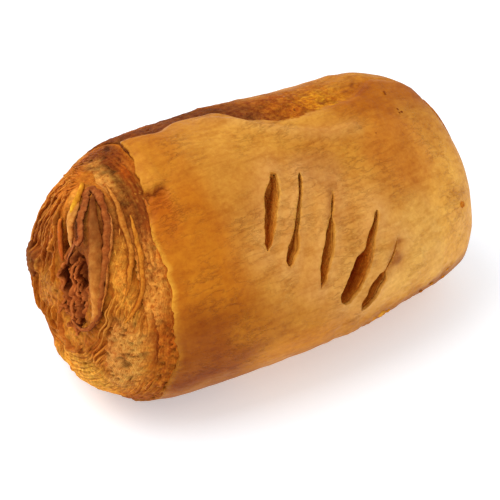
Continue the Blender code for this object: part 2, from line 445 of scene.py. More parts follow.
def makeSkinMaterial():
    material, tree, shader = newMaterial("glazedCrust")
    place, paint, crumbly = readPaint(tree, "crumbly")
    shade, grain = placeMottle(tree, place, skinFinish)
    # fine creases that run mostly along the roll, in some stretches only
    creases = addNoise(tree, place, *skinFinish["creases"])
    fold = compute(tree, "ABSOLUTE", compute(tree, "SUBTRACT", creases, 0.5))
    groove = addRamp(tree, fold, skinFinish["grooveRamp"])
    parts = addNoise(tree, place, *skinFinish["creasedParts"])
    wrinkles = mixValues(tree, addRamp(tree, parts, skinFinish["partsRamp"]), 1.0, groove)
    # browner stains, in blots and in thin drawn-out streaks
    blots = addRamp(tree, addNoise(tree, place, *skinFinish["blots"]), skinFinish["blotRamp"])
    streaks = addNoise(tree, place, *skinFinish["streaks"])
    streaks = addRamp(tree, streaks, skinFinish["streakRamp"])
    stains = compute(tree, "MULTIPLY_ADD", streaks, skinFinish["streakShare"], blots)
    stains = compute(tree, "MULTIPLY", stains, skinFinish["stainShare"])
    stained = mixColours(tree, stains, paint, skinFinish["stain"], "MULTIPLY")
    # painted shade in the creases: the skin is darkened in their grooves with the stains' brown
    share = skinFinish["creaseShadeShare"]
    lines = compute(tree, "MULTIPLY_ADD", wrinkles, -share, share)
    creaseShaded = mixColours(tree, lines, stained, skinFinish["stain"], "MULTIPLY")
    # crumbly, toasted stretches
    granules = addNoise(tree, place, *skinFinish["granules"])
    toast = addRamp(tree, granules, skinFinish["toastRamp"])
    factor = compute(tree, "MULTIPLY", shade, mixValues(tree, crumbly, 1.0, toast))
    normal = addBump(tree, grain, skinFinish["grainDepth"], {})
    normal = addBump(tree, wrinkles, skinFinish["wrinkleDepth"], {"Normal": normal})
    normal = addBump(tree, granules, skinFinish["crumbDepth"],
                     {"Normal": normal, "Strength": crumbly})
    gloss = addRange(tree, creases, skinFinish["creaseRange"], skinFinish["roughness"])
    feed(tree, shader, {
        "Base Color": shadePaint(tree, creaseShaded, factor, skinFinish["tint"]),
        "Roughness": mixValues(tree, crumbly, gloss, skinFinish["crumblyRoughness"]),
        "Specular IOR Level": skinFinish["specular"], "Normal": normal})
    return material


doughFinish = {
    "patches": 0.5, "specks": 1.25, "roughness": 0.7, "poreDepth": 0.0010,
    "tint": (1.06, 0.96, 0.68), "specular": 0.06,
    "waver": (300, 2.0, 0.55), "waverShare": 2.2, "bandRange": (0.84, 1.08),
    "pores": (1100, 4.0, 0.7), "poreRamp": ((0.34, 0.5), (0.48, 1.0), (0.7, 1.22)),
    "bumpRange": (0.45, 1.0),
}


def makeDoughMaterial():
    material, tree, shader = newMaterial("laminatedDough")
    place, paint, strata, porous = readPaint(tree, "strata", "porous")
    shade, _ = placeMottle(tree, place, doughFinish)
    # thin lines of lamination that follow the turns
    waver = addNoise(tree, place, *doughFinish["waver"])
    lines = compute(tree, "MULTIPLY_ADD", waver, doughFinish["waverShare"], strata)
    lines = compute(tree, "SINE", lines)
    band = addRange(tree, lines, (-1.0, 1.0), doughFinish["bandRange"])
    pores = addNoise(tree, place, *doughFinish["pores"])
    holes = addRamp(tree, pores, doughFinish["poreRamp"])
    factor = compute(tree, "MULTIPLY", shade, band)
    factor = compute(tree, "MULTIPLY", factor, mixValues(tree, porous, 1.0, holes))
    strength = addRange(tree, porous, (0.0, 1.0), doughFinish["bumpRange"])
    feed(tree, shader, {
        "Base Color": shadePaint(tree, paint, factor, doughFinish["tint"]),
        "Roughness": doughFinish["roughness"], "Specular IOR Level": doughFinish["specular"],
        "Normal": addBump(tree, pores, doughFinish["poreDepth"], {"Strength": strength})})
    return material


makeMottleGroup()
skinMaterial = makeSkinMaterial()
doughMaterial = makeDoughMaterial()
print("materials are ready")

# the wrapping sheet of dough
sheet = {
    "columns": 150, "thickness": 0.0009, "overlap": 17, "shoulderColumns": 20, "shoulder": 0.42,
    "fineSpacing": 0.0006, "coarseSpacing": 0.0016, "coarseAngles": (190, 345),
    "rowRadius": 0.036, "ringRadius": 0.034,
    # noise is in layers of height, size and seed, humps have a height and a width
    "rim": -0.0437, "rimNotch": 0.0024, "notchAngles": (62, 112, 10), "tongueAngle": 139,
    "rimTongue": (0.0014, 10), "shoulderBand": 0.06, "shoulderPasses": 40,
    "rimRagged": ((0.0007, 0.006, 5), (0.00035, 0.0013, 8)),
    "shoulderRagged": ((0.025, 0.009, 15), (0.012, 0.0018, 18)),
    "creaseRise": (0.0008, 0.0015), "foldDip": (0.0006, 0.0010), "slitSwell": (0.0005, 0.0026),
    "lipRise": 0.0007, "footRagged": (0.0005, 0.0024, 23), "crumbRise": (0.0003, 0.0022, 41),
    "uneven": ((0.00026, 0.009, 21), (0.00012, 0.0032, 31)), "edgeThin": 0.00085,
    "rimThin": 0.0004,
    "crease": ((-0.0160, 90), (-0.0060, 103), (0.0023, 114), (0.0119, 121), (0.0200, 122)),
    "crack": ((0.0167, 102), (0.0209, 101), (0.0252, 100), (0.0298, 97), (0.0342, 94)),
    "tear": (-0.0435, -0.0366), "tearAngle": 122,  # places of both ends of the torn lip
    "base": (202, 133, 49), "toast": (184, 96, 16), "toastDark": (118, 57, 22),
    "toastGold": (206, 131, 26), "toastFar": (158, 80, 22),
    "lip": (236, 168, 62), "overLip": (208, 134, 44), "underLip": (188, 92, 4),
    "lipLine": (134, 58, 4), "slitHighlight": (222, 162, 104), "crackTone": (138, 68, 14),
    "foldShade": (164, 92, 30),
    "dabs": (  # place, angle, half widths, strength, colour
        (-0.036, 155, 0.012, 50, 0.85, (195, 111, 15)),
        (-0.036, 108, 0.008, 16, 0.7, (208, 133, 42)),
        (-0.037, 190, 0.016, 24, 0.8, (146, 70, 0)),
        (-0.040, 225, 0.018, 30, 0.9, (138, 64, 0)),
        (-0.016, 207, 0.011, 13, 0.7, (208, 132, 40)),
        (-0.027, 185, 0.007, 9, 0.6, (196, 122, 32)),
        (-0.010, 222, 0.040, 14, 0.5, (192, 122, 30)),
        (0.000, 158, 0.026, 26, 0.65, (224, 158, 82)),
        (0.024, 180, 0.022, 26, 0.85, (236, 178, 98)),
        (0.040, 172, 0.009, 36, 0.85, (240, 174, 82)),
        (-0.018, 134, 0.010, 20, 0.5, (198, 131, 54)),
        (0.030, 138, 0.013, 20, 0.55, (202, 118, 36)),
        (-0.004, 108, 0.024, 12, 0.6, (222, 158, 70)),
        (0.034, 106, 0.018, 17, 0.85, (178, 96, 4)),
        (-0.036, 100, 0.008, 22, 0.8, (196, 120, 30)),
        (0.030, 215, 0.026, 12, 0.8, (164, 96, 30)),
        (0.0138, 177, 0.0024, 3.5, 0.85, (146, 66, 14)),
        (0.0044, 134, 0.008, 9, 0.5, (186, 122, 70)),
    ),
}
# Pieces to be cut have one value in their wall mask, and cutters another.
slitMark = {"uncut": 0.5, "cut": 1.0}
slitRoutes = (  # upper and lower end of each slit: place and angle
    ((-0.0090, 130), (-0.0196, 156)), ((-0.0020, 133), (-0.0155, 164)),
    ((0.0043, 143), (-0.0092, 177)), ((0.0130, 156), (-0.0031, 190)),
    ((0.0160, 169), (0.0027, 198)),
)
creaseRoutes = (  # soft folds beside the thin upper parts of the third and fifth slits
    ((0.0047, 143), (-0.0002, 153)), ((0.0166, 170), (0.0126, 177), (0.0094, 184)),
)


def paintDabs(place, angle, wobble):
    paint = np.tile(linear(sheet["base"]), (len(place), 1))
    for dabPlace, dabAngle, halfPlace, halfAngle, strength, colour in sheet["dabs"]:
        gap = np.hypot((place - dabPlace) / halfPlace, turnGap(angle, dabAngle) / halfAngle)
        blendPaint(paint, colour, strength * (1 - easeStep((gap + wobble - 0.55) / 0.75)))
    return paint


def sheetRows():
    # rows lie closer together on the top and front, which the slits and creases need
    marks = np.radians([0, *sheet["coarseAngles"], 360 + sheet["overlap"]])
    spacings = (sheet["fineSpacing"], sheet["coarseSpacing"], sheet["fineSpacing"])
    stretches = []
    for start, end, spacing in zip(marks, marks[1:], spacings):
        count = round((end - start) * sheet["rowRadius"] / spacing)
        stretches.append(np.linspace(start, end, count, endpoint=False))
    return np.concatenate(stretches + [marks[-1:]])


def makeSheet():
    rows = sheetRows()
    piece, across, along = addGrid("crustSheet", sheet["columns"], len(rows) - 1)
    wayRound = rows[np.round(along * (len(rows) - 1)).astype(int)]
    degreesRound = np.degrees(wayRound)
    # the torn rims
    angle = girthAngle(np.full_like(wayRound, -halfLength), wayRound)
    ring = sheet["ringRadius"] * np.stack([np.cos(angle), np.sin(angle), angle * 0], axis=-1)
    turned = np.degrees(angle) % 360
    left = sheet["rim"] + sheet["rimNotch"] * between(turned, *sheet["notchAngles"])
    left -= hump(turned - sheet["tongueAngle"], *sheet["rimTongue"])
    left += noises(ring, sheet["rimRagged"])
    # the last columns bend over the right shoulder, where share falls from 1
    bend = 1 - sheet["shoulderColumns"] / sheet["columns"]
    place = left + (halfLength - left) * np.clip(across / bend, 0, 1)
    over = np.clip((across - bend) / (1 - bend), 0, 1)
    over *= sheet["shoulder"] + noises(ring, sheet["shoulderRagged"])
    angle = girthAngle(place, wayRound)
    smooth = sectionPoints(place, angle)
    behind = 2 * math.pi - wayRound
    relief = crustWaves(place, angle) + noises(smooth, sheet["uneven"])
    relief -= roll["stepHeight"] * (1 - easeStep(behind / math.radians(roll["stepReach"])))
    # crease, swollen skin round the slits, and dents in the folds beside them
    creaseGap = routeGap(place, angle, sheet["crease"])
    slitGap = np.min([routeGap(place, angle, route) for route in slitRoutes], axis=0)
    foldGap = np.min([routeGap(place, angle, route) for route in creaseRoutes], axis=0)
    relief += hump(creaseGap, *sheet["creaseRise"]) - hump(foldGap, *sheet["foldDip"])
    relief += hump(np.minimum(slitGap, foldGap), *sheet["slitSwell"])
    # the torn lip by the left rim stands over the layer below it
    tearStart, tearEnd = sheet["tear"]
    tearShare = (place - tearStart) / (tearEnd - tearStart)
    below = turnGap(angle, 0) % 360 - sheet["tearAngle"]
    below += 1.6 * softNoise(ring + place[:, None], 0.0016, 19)
    lipFade = easeStep((1.05 - tearShare) / 0.35) * easeStep((28 - np.abs(below)) / 24)
    relief += sheet["lipRise"] * lipFade * (1 - 2 * easeStep((below + 0.6) / 1.2))
    # the foot of the front is ragged, and the toasted stretch crumbly
    foot = easeStep((np.degrees(angle) % 360 - 192) / 10) * easeStep((place + 0.008) / 0.01)
    relief += foot * noises(smooth, [sheet["footRagged"]])
    crumbly = easeStep((degreesRound - 308 + 22 * roughNoise(smooth, 0.011, 42)) / 34)
    relief += crumbly * noises(smooth, [sheet["crumbRise"]])
    # it thins towards its outer edge, and rolls in a little at the left rim
    relief -= sheet["edgeThin"] * (1 - easeStep(degreesRound / 6))
    relief -= sheet["rimThin"] * (1 - easeStep((place - left) / 0.003))
    points = slanted(sectionPoints(place, angle, relief))
    bent = over > 0
    points[bent] = endPoints(1, 1 - over[bent], angle[bent], relief[bent])
    setPoints(piece, points)
    # colours: dabs, a painted highlight on the skin by the slits and along the crease, a thin
    # yellow rim
    paint = paintDabs(place, angle, 0.28 * roughNoise(smooth, 0.010, 51))
    # painted highlight on the raised skin beside the slits and on the crease
    light = hump(slitGap, 0.5, 0.0045) + hump(creaseGap, 0.35, 0.0022)
    blendPaint(paint, sheet["slitHighlight"], light)
    rimShare = 0.20 + 0.75 * nearAngle(angle, 151, 26, 14)
    blendPaint(paint, sheet["lip"], rimShare * (1 - easeStep((place - left) / 0.0013)))
    overLip = lipFade * (1 - easeStep((below + 0.4) / 0.8))
    blendPaint(paint, sheet["overLip"], 0.85 * overLip)
    blendPaint(paint, sheet["underLip"], 0.7 * (lipFade - overLip))
    blendPaint(paint, sheet["lipLine"], lipFade * hump(below - 0.9, 0.9, 0.8))
    # the toasted stretch behind the outer edge is dark to the left and golden to the right,
    # where it runs out; its granules lie over the very edge, and it is browner behind it
    edgeNoise = 2.2 * roughNoise(smooth, 0.0016, 53)
    onEdge = 1 - easeStep((degreesRound - 1.4 - edgeNoise) / 1.6)
    toasted = np.maximum(crumbly, onEdge) * (1 - 0.75 * easeStep((place - 0.018) / 0.014))
    toast = np.tile(linear(sheet["toast"]), (len(paint), 1))
    far = easeStep((350 - degreesRound + edgeNoise) / 14) * (onEdge < 0.01)
    for name, weight in (("toastGold", easeStep((place - 0.008) / 0.010)),
                         ("toastDark", 0.95 * easeStep((0.007 - place) / 0.012)),
                         ("toastFar", 0.7 * far)):
        blendPaint(toast, sheet[name], weight)
    toast *= 1 + 0.32 * roughNoise(smooth, 0.005, 52)[:, None]
    toast *= 1 + 0.30 * roughNoise(smooth, 0.0016, 55)[:, None]
    paint += (toast - paint) * (toasted * 0.95)[:, None]
    # a broken crack along the top, and painted shade in the folds by the slits
    broken = easeStep(0.5 + 1.6 * roughNoise(smooth, 0.0019, 56))
    crack = hump(routeGap(place, angle, sheet["crack"]), 0.85, 0.0006) * broken
    blendPaint(paint, sheet["crackTone"], crack)
    fold = hump(foldGap, 0.75, 0.0013) * (0.6 + 0.8 * roughNoise(smooth, 0.0016, 54))
    blendPaint(paint, sheet["foldShade"], np.clip(fold, 0, 1))
    setPaint(piece, paint)
    setMask(piece, "crumbly", toasted * 0.85)
    setMask(piece, "wall", np.full(len(paint), slitMark["uncut"]))
    tidyMesh(piece)
    shoulder = piece.vertex_groups.new(name="shoulder")
    nearBend = np.nonzero(np.abs(across - bend) < sheet["shoulderBand"])[0]
    shoulder.add(nearBend.tolist(), 1.0, "REPLACE")
    applyModifier(piece, "SMOOTH", factor=0.5, iterations=sheet["shoulderPasses"],
                  vertex_group="shoulder")
    applyModifier(piece, "SOLIDIFY", thickness=sheet["thickness"], offset=-1,
                  use_even_offset=False)
    return piece


crustSheet = makeSheet()
print("the sheet is rolled")

# the dough inside, with both coiled faces
body = {
    "leftColumns": 440, "coreRows": 46, "faceRows": 150, "sideRows": 6, "split": -0.0300,
    "columns": 260, "tubeRows": 30, "rightRows": 90, "inset": 0.00085,
    "layer": 0.0012, "fineLayer": 0.0004, "pitDepth": 0.0008, "bandDepth": 0.00035,
    "lumps": ((0.0003, 0.0014, 71), (0.0005, 0.005, 75)),  # layers of height, size and seed
    # gap is painted shade between the leaves of the faces
    "gap": (124, 54, 10), "edge": (244, 180, 84), "band": (116, 46, 12),
}
coil = {
    "turns": {-1: 17, 1: 16}, "firstTurn": {-1: 0, 1: 5}, "columns": {-1: 280, 1: 220},
    "rows": 5, "depth": 0.0040, "thickness": 0.00038, "uneven": 0.0011, "highest": 0.0013,
    "ragged": ((0.000405, 3.0, 96), (0.00027, 0.9, 97), (0.00018, 0.33, 94)),
    # root is the painted shade at the foot of each leaf, down in the face
    "tip": (236, 168, 80), "root": (130, 62, 16), "leafInset": 0.0006, "rimShare": 0.985,
    # the turns lie closer together near the rim, and some of one is to spare there
    "crowding": 1.25, "spareTurn": 0.3, "startTurn": 0.25,
    "longSway": ((0.030, 0.011, 401),), "shortSway": ((0.013, 0.0042, 402), (0.005, 0.0018, 403)),
}

# Where the turns of the coil start from, round the core: angle and share.
coreLines = {
    -1: ((0, 0.13), (60, 0.36), (80, 0.60), (95, 0.75), (108, 0.82), (120, 0.81),
         (131, 0.77), (143, 0.70), (157, 0.61), (175, 0.52), (191, 0.44), (212, 0.34), (250, 0.25),
         (290, 0.15), (342, 0.10), (360, 0.13)),
    1: ((0, 0.07), (60, 0.12), (120, 0.10), (180, 0.06), (240, 0.12), (300, 0.10), (360, 0.07)),
}

# What the faces show: share and angle, half widths, how porous a zone is, the height of
# the dough and how far the leaves stand over it in millimetres, and its colour.
zoneGround = {"porous": 0.4, "height": -0.7, "over": 0.9, "colour": (196, 114, 36)}
zoneNoise = ((0.24, 0.006, 61), (0.18, 0.0021, 62))
leftZones = (
    (0.55, 255, 0.34, 42, 0.75, -0.2, -0.3, (252, 182, 76)),  # pale leaves below
    (0.12, 256, 0.16, 46, 0.7, -0.7, -0.2, (232, 152, 58)),   # ground below the core
    (0.70, 58, 0.20, 38, 0.4, -0.5, 0.9, (212, 122, 40)),    # leaves up to the top
    (0.80, 72, 0.12, 15, 0.4, 0.8, 0.9, (204, 114, 36)),     # the outermost of them
    (0.52, 38, 0.18, 18, 0.5, -2.1, 0.5, (192, 108, 36)),    # hollow side of the face
    (0.40, 12, 0.24, 24, 0.6, -1.3, 0.4, (174, 96, 36)),     # browned leaves
    (0.74, 148, 0.10, 30, 0.75, -0.6, 0.2, (252, 172, 68)),   # porous orange leaves
    (0.92, 88, 0.10, 24, 1.0, -0.3, -0.9, (144, 72, 26)),    # toasted top
    (0.945, 118, 0.045, 24, 0.3, -1.1, 1.0, (186, 90, 18)),  # dark fine leaves
    (0.855, 112, 0.055, 34, 1.0, 0.0, -0.9, (236, 162, 80)),  # pale wedge
    (0.905, 118, 0.024, 24, 1.0, -0.5, -0.9, (160, 106, 44)),  # its dull outer side
    (0.80, 154, 0.045, 13, 0.2, -2.6, 2.4, (208, 124, 36)),  # leaves with gaps
    (0.905, 156, 0.065, 20, 1.0, 0.1, -0.9, (244, 164, 74)),  # pale strip inside the rim
    (0.71, 196, 0.16, 24, 1.0, 0.3, -1.3, (222, 154, 80)),   # open crumb
    (0.885, 187, 0.022, 17, 0.3, -1.7, 0.4, (160, 78, 22)),  # groove beside it
    (0.955, 194, 0.05, 24, 1.0, -0.2, -0.9, (200, 112, 32)),  # orange crust
    (0.95, 227, 0.08, 14, 1.0, 0.0, -1.0, (172, 98, 36)),    # rough bottom
    (0.40, 283, 0.16, 16, 0.6, -1.9, -0.5, (222, 140, 52)),  # it falls back by the core
    (0.64, 300, 0.32, 12, 0.1, -1.2, -0.5, (174, 94, 26)),   # smooth dark strip
    (0.25, 331, 0.18, 17, 1.0, -0.2, -0.8, (198, 124, 54)),   # pale patch by the core
    (0.49, 350, 0.13, 11, 0.5, 1.2, -0.4, (140, 76, 34)),    # brown corner
)
rightZones = (
    (0.80, 140, 0.12, 40, 0.7, -0.9, 0.5, (196, 126, 52)),
    (0.60, 240, 0.15, 40, 0.9, -0.8, 0.2, (200, 136, 64)),
    (0.75, 30, 0.15, 45, 0.4, -1.2, 1.0, (184, 104, 34)),
    (0.50, 90, 0.15, 40, 0.8, -0.9, 0.4, (190, 116, 44)),
)
zonesOf = {-1: leftZones, 1: rightZones}

# By the cores: across and up, half sizes, height in millimetres, colour.
coreSpots = {
    -1: (
        (-0.0109, 0.0440, 0.0085, 0.0150, -1.7, (150, 80, 30)),  # ground round the strip
        (-0.0041, 0.0450, 0.0014, 0.0075, -2.8, (140, 54, 14)),  # dark red streak
        (-0.0097, 0.0345, 0.0060, 0.0092, -6.0, (104, 40, 16)),  # hollow
    ),
    1: (
        (-0.0094, 0.0372, 0.0050, 0.0125, -3.4, (120, 52, 20)),  # hollow round the filling
    ),
}


def bodyRelief(place, angle):
    # just under the inner side of the sheet, wherever that lies
    level = np.radians(alongRoute(roll["seamRoute"], place))
    wayRound = (angle - level) % (2 * math.pi)
    low = 1 - easeStep((2 * math.pi - wayRound) / math.radians(roll["stepReach"]))
    under = 1 - easeStep((wayRound - math.radians(sheet["overlap"])) / math.radians(14))
    return crustWaves(place, angle) - body["inset"] - roll["stepHeight"] * np.maximum(low, under)


def faceRelief(side, angle):
    return bodyRelief(np.full_like(angle, side * halfLength), angle)


def readZones(kind, side, share, angle, wobble):
    # what the zones say at each point of a face, over the ground they lie on
    column = 4 + list(zoneGround).index(kind)
    convert = linear if kind == "colour" else np.atleast_1d
    value = np.tile(convert(zoneGround[kind]), (len(share), 1))
    for zone in zonesOf[side]:
        gap = np.hypot((share - zone[0]) / zone[2], turnGap(angle, zone[1]) / zone[3])
        weight = 1 - easeStep((gap + wobble - 0.65) / 0.6)
        value += (convert(zone[column]) - value) * weight[:, None]
    return value if kind == "colour" else value[:, 0]


def zoneWobble(points):
    return noises(points, zoneNoise)


def calmFoot(angle):
    # the leaves wave less at the foot of the face
    return 1 - 0.8 * nearAngle(angle, 262, 72, 35)


def coilSway(points, angle):
    # how far the turns of the coil stray from their even places, as a share
    sway = noises(points, coil["shortSway"], softNoise) * calmFoot(angle)
    return sway + noises(points, coil["longSway"], softNoise)


def coilStart(side):
    # where the sheet's outer edge lies at one end, in degrees
    return alongRoute(roll["seamRoute"], np.array([side * halfLength]))[0]


def coilTurn(side, share, angle):
    # the turn of the coil that a point of a face lies on; whole numbers lie on a leaf
    degrees = np.degrees(angle) % 360
    inner = alongRoute(coreLines[side], degrees)
    level = np.clip((share - inner) / (1 - inner), 0, 1) ** coil["crowding"]
    turns = (1 - level) * (coil["turns"][side] + coil["spareTurn"]) - coil["startTurn"]
    return turns - (degrees - coilStart(side)) % 360 / 360


def shapeFace(side, share, angle):
    # points, colours, porousness and lines of lamination of a coiled face
    relief = faceRelief(side, angle)
    plain = endPoints(side, share, angle, relief)
    wobble = zoneWobble(plain)
    calm = calmFoot(angle)
    lift = readZones("height", side, share, angle, wobble * calm) / 1000
    soft = readZones("porous", side, share, angle, wobble)
    colours = readZones("colour", side, share, angle, wobble)
    # leaves as ridges, with fine ones between
    turn = coilTurn(side, share - coilSway(plain, angle), angle)
    ridge = 1 - 2 * np.abs(turn - np.round(turn))
    fine = 0.5 + 0.5 * np.cos(2 * math.pi * (2.6 * turn + 0.5 * softNoise(plain, 0.004, 63)))
    strength = (1 - 0.62 * soft) * (0.35 + 0.65 * easeStep(0.5 + softNoise(plain, 0.007, 64)))
    strength *= easeStep((share + 0.05) / 0.2)
    leaves = body["layer"] * (ridge ** 1.3 - 0.7) + body["fineLayer"] * (fine - 0.5)
    lift += strength * leaves * (0.45 + 0.55 * calm)
    # crumb: lumps and pits, drawn out sideways in the open crumb at the front
    lying = between(np.degrees(angle), 165, 222, 12)
    stretched = plain * np.array([1.0, 0.30, 1.5])
    pits = np.clip(-softNoise(plain, 0.0011, 72) - 0.22, 0, 0.6) / 0.6 * (1 - lying)
    pits += np.clip(-softNoise(stretched, 0.0009, 73) - 0.10, 0, 0.5) / 0.5 * lying
    lift += soft * (noises(plain, body["lumps"]) - body["pitDepth"] * pits)
    # a few thin dark layers between the pale wedge and the rim
    bandShare = share + 0.006 * roughNoise(plain, 0.004, 76)
    band = nearAngle(angle, 122, 40, 16) * between(bandShare, 0.885, 0.985, 0.02) * (side == -1)
    band *= 0.5 - 0.5 * np.cos(2 * math.pi * bandShare / 0.0235)
    lift -= body["bandDepth"] * band
    for y, z, halfY, halfZ, height, tone in coreSpots[side]:
        gap = np.hypot((plain[:, 1] - y) / halfY, (plain[:, 2] - z) / halfZ)
        weight = 1 - easeStep((gap + 0.5 * wobble - 0.6) / 0.55)
        lift += weight * (height / 1000 - lift)
        blendPaint(colours, tone, weight)
    if side == 1:
        lift = np.minimum(lift, -0.0010 - 0.0018 * easeStep((share - 0.5) / 0.1))
    lift *= easeStep((1.01 - share) / 0.04)
    # painted shade in the gaps between the leaves and between the fine layers, paler on the edges,
    # and mottled all over
    blendPaint(colours, body["gap"], strength * 0.8 * (1 - ridge) ** 1.4)
    blendPaint(colours, body["edge"], strength * 0.5 * np.clip((ridge - 0.72) / 0.28, 0, 1))
    colours *= 1 - (0.34 * strength * (1 - fine))[:, None]
    blendPaint(colours, body["band"], 0.6 * band)
    mottle = 1 + 0.24 * roughNoise(plain, 0.0045, 65)
    mottle *= 1 + 0.26 * softNoise(plain, 0.0007, 66)
    colours *= (mottle * (1 - 0.5 * soft * pits))[:, None]
    colours[:, 1] *= 1 + 0.10 * roughNoise(plain, 0.0060, 67)
    lines = 5.2 * math.pi * turn + 3 * roughNoise(plain, 0.004, 81)
    return endPoints(side, share, angle, relief, lift), colours, soft, lines


def offFloor(points):
    # the sheet lies under the dough
    points[:, 2] = np.maximum(points[:, 2], sheet["thickness"])
    return points


def makeDough(name, side, columns, faceRow, sides):
    # a closed piece: a face from the core out to the rim, the side from the rim to the
    # split, and a flat disc there; faceRow and sides hold the shares and places of rows
    rows = len(faceRow) + len(sides)
    piece, around, along = addGrid(name, columns, rows)
    angle = 2 * math.pi * around
    row = np.round(along * rows).astype(int)
    share = np.concatenate([faceRow, np.full(len(sides) + 1, 2.0)])[row]
    place = np.concatenate([np.zeros(len(faceRow)), sides, sides[-1:]])[row]
    points = offFloor(slanted(sectionPoints(place, angle, bodyRelief(place, angle))))
    points[row == rows] = points[row == rows - 1].mean(axis=0)
    paint = np.tile(linear(zoneGround["colour"]), (len(points), 1))
    porous = np.full(len(points), 0.5)
    strata = np.zeros(len(points))
    onFace = row < len(faceRow)
    points[onFace], paint[onFace], porous[onFace], strata[onFace] = shapeFace(
        side, share[onFace], angle[onFace])
    setPoints(piece, offFloor(points))
    setPaint(piece, paint)
    setMask(piece, "strata", strata)
    setMask(piece, "porous", porous)
    setMask(piece, "wall", np.full(len(points), slitMark["uncut"]))
    tidyMesh(piece)
    return piece


coreShares = np.linspace(-1, 0, body["coreRows"], endpoint=False)
leftDough = makeDough(
    "leftDough", -1, body["leftColumns"],
    np.concatenate([coreShares, np.linspace(0, 1, body["faceRows"])]),
    np.linspace(-halfLength, body["split"], body["sideRows"] + 1)[1:])
tubeShares = (1 - np.cos(np.linspace(0, math.pi, body["tubeRows"] + 1)))[1:] / 2
doughBody = makeDough(
    "doughBody", 1, body["columns"], np.linspace(-1, 1, body["rightRows"]),
    halfLength + (body["split"] - halfLength) * tubeShares)
print("the dough inside is shaped")


# leaves of the coil
def addLeaf(name, side, share, degrees, lift, depth, rows, flare, crumple, crumpleSize, drift,
            seed):
    # one ribbon of dough that stands in a face along a line of shares and angles; the
    # line has one more point than the ribbon has columns, and drift keeps ribbons that
    # lie side by side from waving alike
    piece, along, across = addGrid(name, len(share) - 1, rows)
    column = np.round(along * (len(share) - 1)).astype(int)
    angle = np.radians(degrees[column])
    tip = lift[column] - depth * (1 - across) ** 1.5
    relief = faceRelief(side, angle) - coil["leafInset"]
    plain = endPoints(side, share[column], angle, relief, tip)
    waved = plain + np.outer(drift[column], (1, 0, 0))
    shift = flare * across ** 2
    shift += crumple * calmFoot(angle) * roughNoise(waved, crumpleSize, seed)
    here = np.minimum(share[column] + shift, coil["rimShare"])
    setPoints(piece, offFloor(endPoints(side, here, angle, relief, tip)))
    return piece, here, angle, across, column, plain


def finishLeaf(piece, paint, strata, porous, thickness):
    setPaint(piece, paint)
    setMask(piece, "strata", strata)
    setMask(piece, "porous", np.full(len(paint), porous))
    tidyMesh(piece, outward=False, threshold=0)
    applyModifier(piece, "SOLIDIFY", thickness=thickness, offset=0, use_even_offset=False)
    return piece


def makeCoil(side, name):
    first, turns = coil["firstTurn"][side], coil["turns"][side]
    way = np.linspace(first, turns, coil["columns"][side] * (turns - first) + 1)
    degrees = coilStart(side) + 360 * way
    inner = alongRoute(coreLines[side], degrees % 360)
    angle = np.radians(degrees)
    own = np.stack([np.cos(angle) * 3 + way // 1 * 7.3, np.sin(angle) * 3, way * 0.9], axis=-1)
    level = 1 - (way + coil["startTurn"]) / (turns + coil["spareTurn"])
    share = inner + (1 - inner) * np.clip(level, 0, 1) ** (1 / coil["crowding"])
    rough = endPoints(side, share, angle, -0.001)
    share += coilSway(rough, angle) + 0.010 * softNoise(own, 0.9, 93)
    wobble = zoneWobble(rough) * calmFoot(angle)
    lift = readZones("height", side, share, angle, wobble) / 1000
    over = readZones("over", side, share, angle, wobble) / 1000
    if side == -1:
        # the innermost leaves lie low beside the core's strip
        over -= hump(share - inner, 0.0010 * between(degrees % 360, 95, 222, 15), 0.05)
    else:
        over -= 0.0035 * easeStep((share - 0.50) / 0.05)
    calm = 0.4 + 0.6 * calmFoot(angle)
    over += calm * coil["uneven"] * softNoise(own, 1.5, 95) + 0.0004 * softNoise(own, 0.5, 92)
    over += noises(np.outer(way, (57.0, 0, 0)), coil["ragged"], softNoise)
    # little stands out at the back of the top, so the outline stays smooth there
    over = np.minimum(over, coil["highest"])
    piece, here, turned, across, column, plain = addLeaf(
        name, side, share, degrees, lift + over, coil["depth"], coil["rows"],
        flare=0.005, crumple=0.0065, crumpleSize=0.0042, drift=way * 0.0137, seed=98)
    zone = readZones("colour", side, here, turned, zoneWobble(plain))
    tone = softNoise(own[column], 1.1, 99) + 0.6 * roughNoise(plain, 0.0025, 88)
    zone *= 1 + 0.24 * tone[:, None]
    zone[:, 1] *= 1 + 0.10 * softNoise(own[column], 0.7, 89)
    # painted shade towards the root of each leaf
    blendPaint(zone, coil["root"], 1 - easeStep((across - 0.25) / 0.6))
    tipShare = easeStep((across - 0.85) / 0.15) * (0.22 + 0.28 * softNoise(plain, 0.0022, 87))
    blendPaint(zone, coil["tip"], tipShare)
    strata = across * coil["depth"] * 4500 + 4 * roughNoise(plain, 0.003, 82)
    return finishLeaf(piece, zone, strata, 0.55, coil["thickness"])


leftLeaves = makeCoil(-1, "leftLeaves")
rightLeaves = makeCoil(1, "rightLeaves")
print("the coiled leaves stand")

